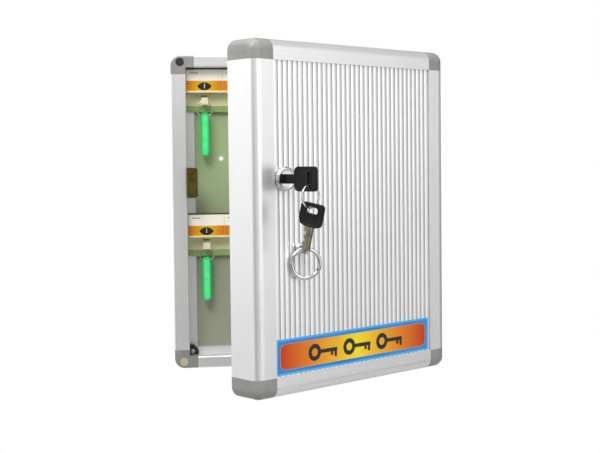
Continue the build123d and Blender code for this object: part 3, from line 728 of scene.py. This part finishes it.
# Keys: a moulded bow with a sunk field on both faces and a rimmed slot
bow_width = 21.5
bow_thickness = 4.4
bow_corner = 3.4
bow_edge = 0.3
field_margin = 1.5
field_slope = 0.4
field_depth = 0.45
slot_length = 12.3
slot_rim = 1.3
stem_width = 8.4
stem_thickness = 3.3
stem_overlap = 2


def capsule(name, length, width, depth, centre, corner=None):
    """A slot's shape, its ends half round unless a smaller corner is given."""
    made = block(name, (length, width, depth), centre)
    return round_corners(made, 2, corner or width * 0.499, steps=8)


def moulded_bow(name, length, slot_drop, slot_width, slot_corner, shoulder, neck):
    """A bow in its own frame: x across, y from the outer end to the blade, z through the thickness.

    shoulder holds the two cuts beside the blade. neck is the length of the stem between the bow and the lock.
    """
    bow = block(name, (bow_width, length, bow_thickness), (0, length / 2, 0))
    round_corners(bow, 2, bow_corner, lambda spot: spot.y < length / 2 * MM)
    for side, cut in zip((-1, 1), shoulder):
        round_corners(bow, 2, cut, lambda spot: spot.y > length / 2 * MM and spot.x * side > 0, 2)
    edit(bow)
    choose(bow, "faces", lambda face: abs(face.normal.z) > 0.99)
    bpy.ops.mesh.inset(thickness=field_margin * MM, depth=0)
    bpy.ops.mesh.inset(thickness=field_slope * MM, depth=-field_depth * MM)
    leave()
    rim = capsule("rim", slot_length + 2 * slot_rim, slot_width + 2 * slot_rim, bow_thickness - 0.3,
                  (0, slot_drop, 0))
    boolean(bow, rim, "UNION")
    if neck:
        stem_middle = length + neck / 2 - stem_overlap / 2
        stem = block("stem", (stem_width, neck + stem_overlap, stem_thickness), (0, stem_middle, 0))
        round_corners(stem, 1, 0.9, steps=3)
        boolean(bow, stem, "UNION")
    slot = capsule("slot", slot_length, slot_width, 3 * bow_thickness, (0, slot_drop, 0), slot_corner)
    boolean(bow, slot, "DIFFERENCE")
    return soften(bow, bow_edge)


def axes(origin, x_axis, z_axis):
    """The matrix that carries a shape drawn at the origin to this place and these axes."""
    y_axis = z_axis.cross(x_axis)
    turn = Matrix((x_axis, y_axis, z_axis)).transposed().to_4x4()
    return Matrix.Translation(origin) @ turn


key_low, key_high = drawn_box("key_bow")
key_end = Vector((lock.x, key_low.y, lock.z))
key_neck = 11.4
key_slot_drop = 7.0
key_slot_width = 4.0
key_slot_corner = 0.9
key_shoulder = (4.2, 4.2)
key_bow = moulded_bow("key_bow_moulding", (key_high.y - key_low.y) / MM, key_slot_drop, key_slot_width,
                      key_slot_corner, key_shoulder, key_neck)
key_bow.data.transform(axes(key_end, Vector((0, 0, 1)), Vector((-1, 0, 0))))
settle(key_bow, "key", finishes["black"], door_turn, ["key_bow"])

# The spare key hangs in the split ring, turned towards the free edge and leaning a little
ring_low, ring_high = drawn_box("split_ring")
ring_centre = (ring_low + ring_high) / 2
split_radius = 9.95
split_width = 1.2
split_height = 0.62
split_turns = 2.06
split_pitch = 0.64
ring_wire = 0.9
rest_gap = 0.3
spare_turn = math.radians(-70)
spare_tilt = math.radians(-12)
spare_bow_length = 20.5
spare_slot_drop = 6.2
spare_slot_width = 5.6
spare_slot_shift = 2.2
spare_shoulder = (3.9, 6.4)
hang = ring_centre - Vector((0, 0, (split_radius - ring_wire - rest_gap) * MM))
facing = axes(hang, Vector((1, 0, 0)), out)
spare_place = facing @ Matrix.Rotation(spare_turn, 4, "Y") @ Matrix.Rotation(spare_tilt, 4, "Z")
spare_place @= Matrix.Translation(Vector((spare_slot_shift, spare_slot_drop - spare_slot_width / 2, 0)) * MM)
spare_place @= Matrix.Rotation(math.pi, 4, "Z")
spare_bow = moulded_bow("spare_bow_moulding", spare_bow_length, spare_slot_drop, spare_slot_width, None,
                        spare_shoulder, 0)
spare_bow.data.transform(spare_place)
settle(spare_bow, "spare_key", finishes["black"], door_turn, ["spare_key_bow"])


def coil(name, centre, axis, radius, width, height, turns, pitch):
    """Wire wound round an axis: a small rounded section screwed through its turns."""
    bpy.ops.mesh.primitive_plane_add(size=1, rotation=(math.pi / 2, 0, 0), location=(radius * MM, 0, 0))
    made = active(name)
    made.scale = (width * MM, height * MM, 1)
    apply_all(made)
    edit(made)
    bpy.ops.mesh.select_all(action="SELECT")
    bpy.ops.mesh.bevel(offset=0.3 * min(width, height) * MM, segments=3, affect="VERTICES")
    bpy.ops.mesh.select_all(action="SELECT")
    bpy.ops.mesh.delete(type="ONLY_FACE")
    leave()
    modify(made, "SCREW", axis="Z", angle=turns * 2 * math.pi, screw_offset=pitch * turns * MM,
           steps=int(72 * turns), render_steps=int(72 * turns), use_smooth_shade=True)
    edit(made)
    bpy.ops.mesh.select_all(action="DESELECT")
    bpy.ops.mesh.select_mode(type="EDGE")
    bpy.ops.mesh.select_non_manifold()
    bpy.ops.mesh.fill()
    bpy.ops.mesh.select_all(action="SELECT")
    bpy.ops.mesh.normals_make_consistent(inside=False)
    leave()
    made.data.transform(Matrix.Translation((0, 0, -pitch * turns / 2 * MM)))
    made.data.transform(axis.to_track_quat("Z", "X").to_matrix().to_4x4())
    made.data.transform(Matrix.Translation(centre))
    return smooth(made)


split = coil("split_ring_coil", ring_centre, out, split_radius, split_width, split_height,
             split_turns, split_pitch)
settle(split, "key_ring", finishes["chrome"], door_turn, ["split_ring"])

# Pull eye: a round foot and a loop that grows out of it, with the stud behind the panel
eye_low, eye_high = drawn_box("pull_eye")
eye = Vector(((eye_low.x + eye_high.x) / 2, 0, (eye_low.z + eye_high.z) / 2))
stud = [(0, -5.2), (2.0, -5.2), (2.0, 0)]
dome = [(5.0, 0), (5.0, 0.8), (4.7, 1.6), (3.9, 2.2), (2.6, 2.5), (0, 2.5)]
foot = turned("pull_eye_foot", stud + dome, eye + out * panel_front * MM, out, 40)
eye_reach = 8.0
loop_radius = 4.1
loop_wire = 0.95
loop_widening = 2.2
loop_leg_from = 5.2
loop_leg_sink = 2.4
bpy.ops.mesh.primitive_torus_add(major_radius=loop_radius * MM, minor_radius=loop_wire * MM,
                                 major_segments=40, minor_segments=16, rotation=(0, math.pi / 2, 0),
                                 location=eye + out * (panel_front + eye_reach) * MM)
loop = apply_all(active("pull_eye_loop"))
edit(loop)
bpy.ops.mesh.select_all(action="SELECT")
bpy.ops.transform.resize(value=(loop_widening, 1, 1))
choose(loop, "verts", lambda v: v.co.y > -(panel_front + loop_leg_from) * MM)
bpy.ops.transform.translate(value=(0, loop_leg_sink * MM, 0))
leave()
smooth(loop)
eye_piece = join("pull_eye_casting", [foot, loop])
settle(eye_piece, "door", finishes["chrome"], door_turn, ["pull_eye"])

# Key tags and their wire rings
tag_size = (8.6, 6.0, 45.0)
tag_corner = 4.1
tag_edge = 1.3
tag_field_margin = 1.6
tag_field_depth = 0.5
tag_hole_drop = 4.6
tag_hole_radius = 2.15
drill_reach = 9
tag_ring_radius = 8.0
tag_ring_wire = 0.8
tag_ring_turns = 1.06
tag_ring_pitch = 0.15
tag_turns = {"upper": (0.0, 0.0), "lower": (-18.0, -26.0)}
for level, (ring_turn, tag_turn) in tag_turns.items():
    low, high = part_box(f"{level}_tag_ring")
    centre = (low + high) / 2
    ring_axis = Matrix.Rotation(math.radians(ring_turn), 3, "Z") @ out
    wire = coil(f"{level}_ring_wire", centre, ring_axis, tag_ring_radius, tag_ring_wire, tag_ring_wire,
                tag_ring_turns, tag_ring_pitch)
    settle(wire, f"{level}_ring", finishes["wire"], stands_for=[f"{level}_tag_ring"])

    hole = centre - Vector((0, 0, tag_ring_radius * MM))
    tag = block(f"{level}_tag_moulding", tag_size, (0, 0, tag_hole_drop - tag_size[2] / 2))
    round_corners(tag, 1, tag_corner, steps=8)
    edit(tag)
    choose(tag, "faces", lambda face: abs(face.normal.y) > 0.99)
    bpy.ops.mesh.inset(thickness=tag_field_margin * MM, depth=0)
    bpy.ops.mesh.inset(thickness=tag_field_depth * MM, depth=-tag_field_depth * MM)
    leave()
    drill_sides = [(0, -drill_reach), (tag_hole_radius, -drill_reach), (tag_hole_radius, drill_reach),
                   (0, drill_reach)]
    drill = turned("drill", drill_sides, Vector(), side_out, 24)
    boolean(tag, drill, "DIFFERENCE")
    soften(tag, tag_edge, 5, 50)
    tag.data.transform(Matrix.Translation(hole) @ Matrix.Rotation(math.radians(tag_turn), 4, "Z"))
    settle(tag, f"{level}_tag", finishes[f"{level}_green"], stands_for=[f"{level}_key_tag"])


# Printed ovals with plain numbers on the name cards, and a rule to write a name on
oval_width = 14.5
oval_height = 8.0
oval_rise = 5.4
lens_steps = 12
figure_height = 6.6
print_height = 0.08
rule_size = (8.5, print_height, 0.8)
rule_inset = 7.5
rule_drop = 3.4


def lens(name, width, height, thickness):
    """A flat oval with pointed ends: two arcs that meet at its tips."""
    half = width / 2
    rise = height / 2
    radius = (half**2 + rise**2) / (2 * rise)
    reach = math.asin(half / radius)
    points = []
    for side in (1, -1):
        for step in range(lens_steps):
            angle = reach * (1 - 2 * step / lens_steps) * side
            height_there = side * (radius * math.cos(angle) - radius + rise)
            points.append(Vector((radius * math.sin(-angle), 0, height_there)) * MM)
    made = outline(name, points + [points[0]])
    edit(made)
    bpy.ops.mesh.select_all(action="SELECT")
    bpy.ops.mesh.remove_doubles(threshold=0.01 * MM)
    bpy.ops.mesh.edge_face_add()
    bpy.ops.mesh.extrude_region_move(TRANSFORM_OT_translate={"value": (0, -thickness * MM, 0)})
    bpy.ops.mesh.select_all(action="SELECT")
    bpy.ops.mesh.normals_make_consistent(inside=False)
    leave()
    return made


def figure(name, text, height, thickness):
    """A plain number as a thin raised print, facing the front."""
    bpy.ops.object.text_add(rotation=(math.pi / 2, 0, 0))
    made = bpy.context.active_object
    made.data.body = text
    made.data.size = height * MM
    made.data.extrude = thickness / 2 * MM
    made.data.align_x = "CENTER"
    made.data.align_y = "CENTER"
    alone(made)
    bpy.ops.object.convert(target="MESH")
    return apply_all(active(name))


for level in ("upper", "lower"):
    cards = solids_of(f"{level}_name_cards")
    ovals = []
    figures = []
    rules = []
    for number, (low, high) in enumerate(cards, 1):
        spot = Vector(((low.x + high.x) / 2, low.y, low.z + oval_rise * MM))
        ovals.append(lens("oval", oval_width, oval_height, print_height))
        ovals[-1].location = spot
        apply_all(ovals[-1])
        figures.append(figure("figure", str(number), figure_height, print_height))
        figures[-1].location = spot + out * 1.5 * print_height * MM
        apply_all(figures[-1])
        rule_spot = Vector((low.x, low.y, high.z)) / MM + Vector((rule_inset, -print_height / 2, -rule_drop))
        rules.append(block("rule", rule_size, rule_spot))
    settle(join(f"{level}_number_ovals", ovals), "root", finishes["ink"])
    settle(join(f"{level}_numbers", figures), "root", finishes["digit"])
    settle(join(f"{level}_name_rules", rules), "root", finishes["line"])


# Three plain key signs on the label
sign_length = 36
sign_height = 15.5
sign_thickness = 0.07
sign_pitch = 44


def key_sign(name, length, height, thickness, centre):
    """A flat sign of a key: a ring for its bow, a shaft and two bits."""
    ring_radius = height / 2
    hole_radius = ring_radius * 0.48
    ring = turned(name, [(hole_radius, 0), (ring_radius, 0), (ring_radius, thickness),
                         (hole_radius, thickness), (hole_radius, 0)], Vector(), out, 40)
    ring.data.transform(Matrix.Translation(Vector((-length / 2 + ring_radius, 0, 0)) * MM))
    start = -length / 2 + ring_radius * 1.8
    shaft_width = height * 0.22
    parts = [((length / 2 - start, thickness, shaft_width), ((length / 2 + start) / 2, -thickness / 2, 0))]
    for share, depth in ((0.98, 1.2), (0.72, 0.9)):
        reach = height * 0.36 * depth
        parts.append(((height * 0.2, thickness, reach),
                      (length / 2 * share - height * 0.1, -thickness / 2, -reach / 2)))
    for size, spot in parts:
        boolean(ring, block("bit", size, spot), "UNION")
    ring.data.transform(Matrix.Translation(centre))
    return ring


plate_low, plate_high = drawn_box("label_plate")
plate_middle = (plate_low + plate_high) / 2
signs = []
for place in (-1, 0, 1):
    spot = Vector((plate_middle.x + place * sign_pitch * MM, plate_low.y, plate_middle.z))
    signs.append(key_sign(f"sign_{place + 1}", sign_length, sign_height, sign_thickness, spot))
settle(join("label_key_signs", signs), "door", finishes["ink"], door_turn)

# Floor, world and lights
bpy.ops.mesh.primitive_plane_add(size=3, location=(0, 0, -0.75))
floor = active("floor")
paint, pen = material("pale_floor")
surface(pen, Base_Color=pen.noise(pen.place(), 2).above(0, 1).blend(grey(0.48), grey(0.52)), Roughness=0.7)
floor.data.materials.append(paint)

# A bright sky that is darker behind the camera, to the far right and low down. The flags are dark
# strips that the polished pieces mirror. The camera itself sees plain white.
world = bpy.data.worlds.new("studio")
bpy.context.scene.world = world
world.use_nodes = True
world.node_tree.nodes.clear()
air = Shade(world.node_tree)
way = air.node("ShaderNodeTexCoord", None, None, "Generated")
to_right = way.part("X")
to_front = 0 - way.part("Y")
upward = way.part("Z")
in_front = to_front.above(0.0, 0.3)
behind_camera = to_front.above(0.86, 0.985)
far_right = to_right.above(-0.1, 0.2) * (1 - to_front.above(-0.02, 0.25))
rightward = to_right.above(-0.2, 0.2)
left_fall = (1 - upward.above(-0.32, 0.20)) * 0.64
right_fall = (1 - upward.above(-0.06, 0.09)) * 0.14 + (1 - upward.above(-0.23, -0.13)) * 0.68
fall = rightward * right_fall + (1 - rightward) * left_fall
high_flag = upward.above(0.36, 0.40) * (1 - upward.above(0.56, 0.60)) * (1 - to_right.above(0.3, 0.6))
left_flag = in_front * to_right.above(-0.62, -0.50) * (1 - to_right.above(-0.22, -0.12))
right_flag = in_front * to_right.above(0.30, 0.34) * (1 - to_right.above(0.42, 0.46))
low_flag = in_front * upward.above(-0.66, -0.60) * (1 - upward.above(-0.46, -0.40))
level = 1.42 * (1 - behind_camera * 0.60) * (1 - far_right * 0.84) * (1 - fall)
level = level * (1 - high_flag * 0.9) * (1 - left_flag * 0.9) * (1 - right_flag * 0.5) * (1 - low_flag * 0.9)
seen = air.node("ShaderNodeLightPath", None, None, "Is Camera Ray")
strength = seen + (1 - seen) * level
sky = air.node("ShaderNodeBackground", None, {"Color": (1, 1, 1, 1), "Strength": strength})
air.node("ShaderNodeOutputWorld", None, {"Surface": sky})


def softbox(name, spot, target, width, height, power):
    """A rectangular lamp at a spot that faces a target."""
    bpy.ops.object.light_add(type="AREA", location=spot)
    lamp = bpy.context.active_object
    lamp.name = name
    lamp.data.shape = "RECTANGLE"
    lamp.data.size = width
    lamp.data.size_y = height
    lamp.data.energy = power
    lamp.rotation_euler = (Vector(target) - Vector(spot)).to_track_quat("-Z", "Y").to_euler()


aim = (0, -0.05, -0.05)
softbox("left_softbox", (-0.46, -0.85, 0.80), (-0.1, -0.2, 0.0), 0.5, 0.5, 8.5)
softbox("right_softbox", (1.3, -1.5, 0.7), aim, 0.7, 0.9, 4)
softbox("top_softbox", (0.1, -0.4, 1.6), aim, 1.4, 1.0, 13)

# Camera, at the photograph's angle
camera_spot = Vector((-0.1284, -1.1700, -0.0036))
yaw = 0.1148
pitch = -0.0431
roll = -0.0112
lens_mm = 67.816
down_shift = -0.0280
ahead = Vector((math.sin(yaw) * math.cos(pitch), math.cos(yaw) * math.cos(pitch), math.sin(pitch)))
level_right = Vector((math.cos(yaw), -math.sin(yaw), 0))
level_up = level_right.cross(ahead)
camera_right = math.cos(roll) * level_right + math.sin(roll) * level_up
camera_up = -math.sin(roll) * level_right + math.cos(roll) * level_up
bpy.ops.object.camera_add()
camera = bpy.context.active_object
camera.matrix_world = Matrix.Translation(camera_spot) @ Matrix(
    (camera_right, camera_up, -ahead)).transposed().to_4x4()
camera.data.lens = lens_mm
camera.data.shift_y = down_shift
bpy.context.scene.camera = camera
bpy.context.scene.view_settings.view_transform = "Standard"
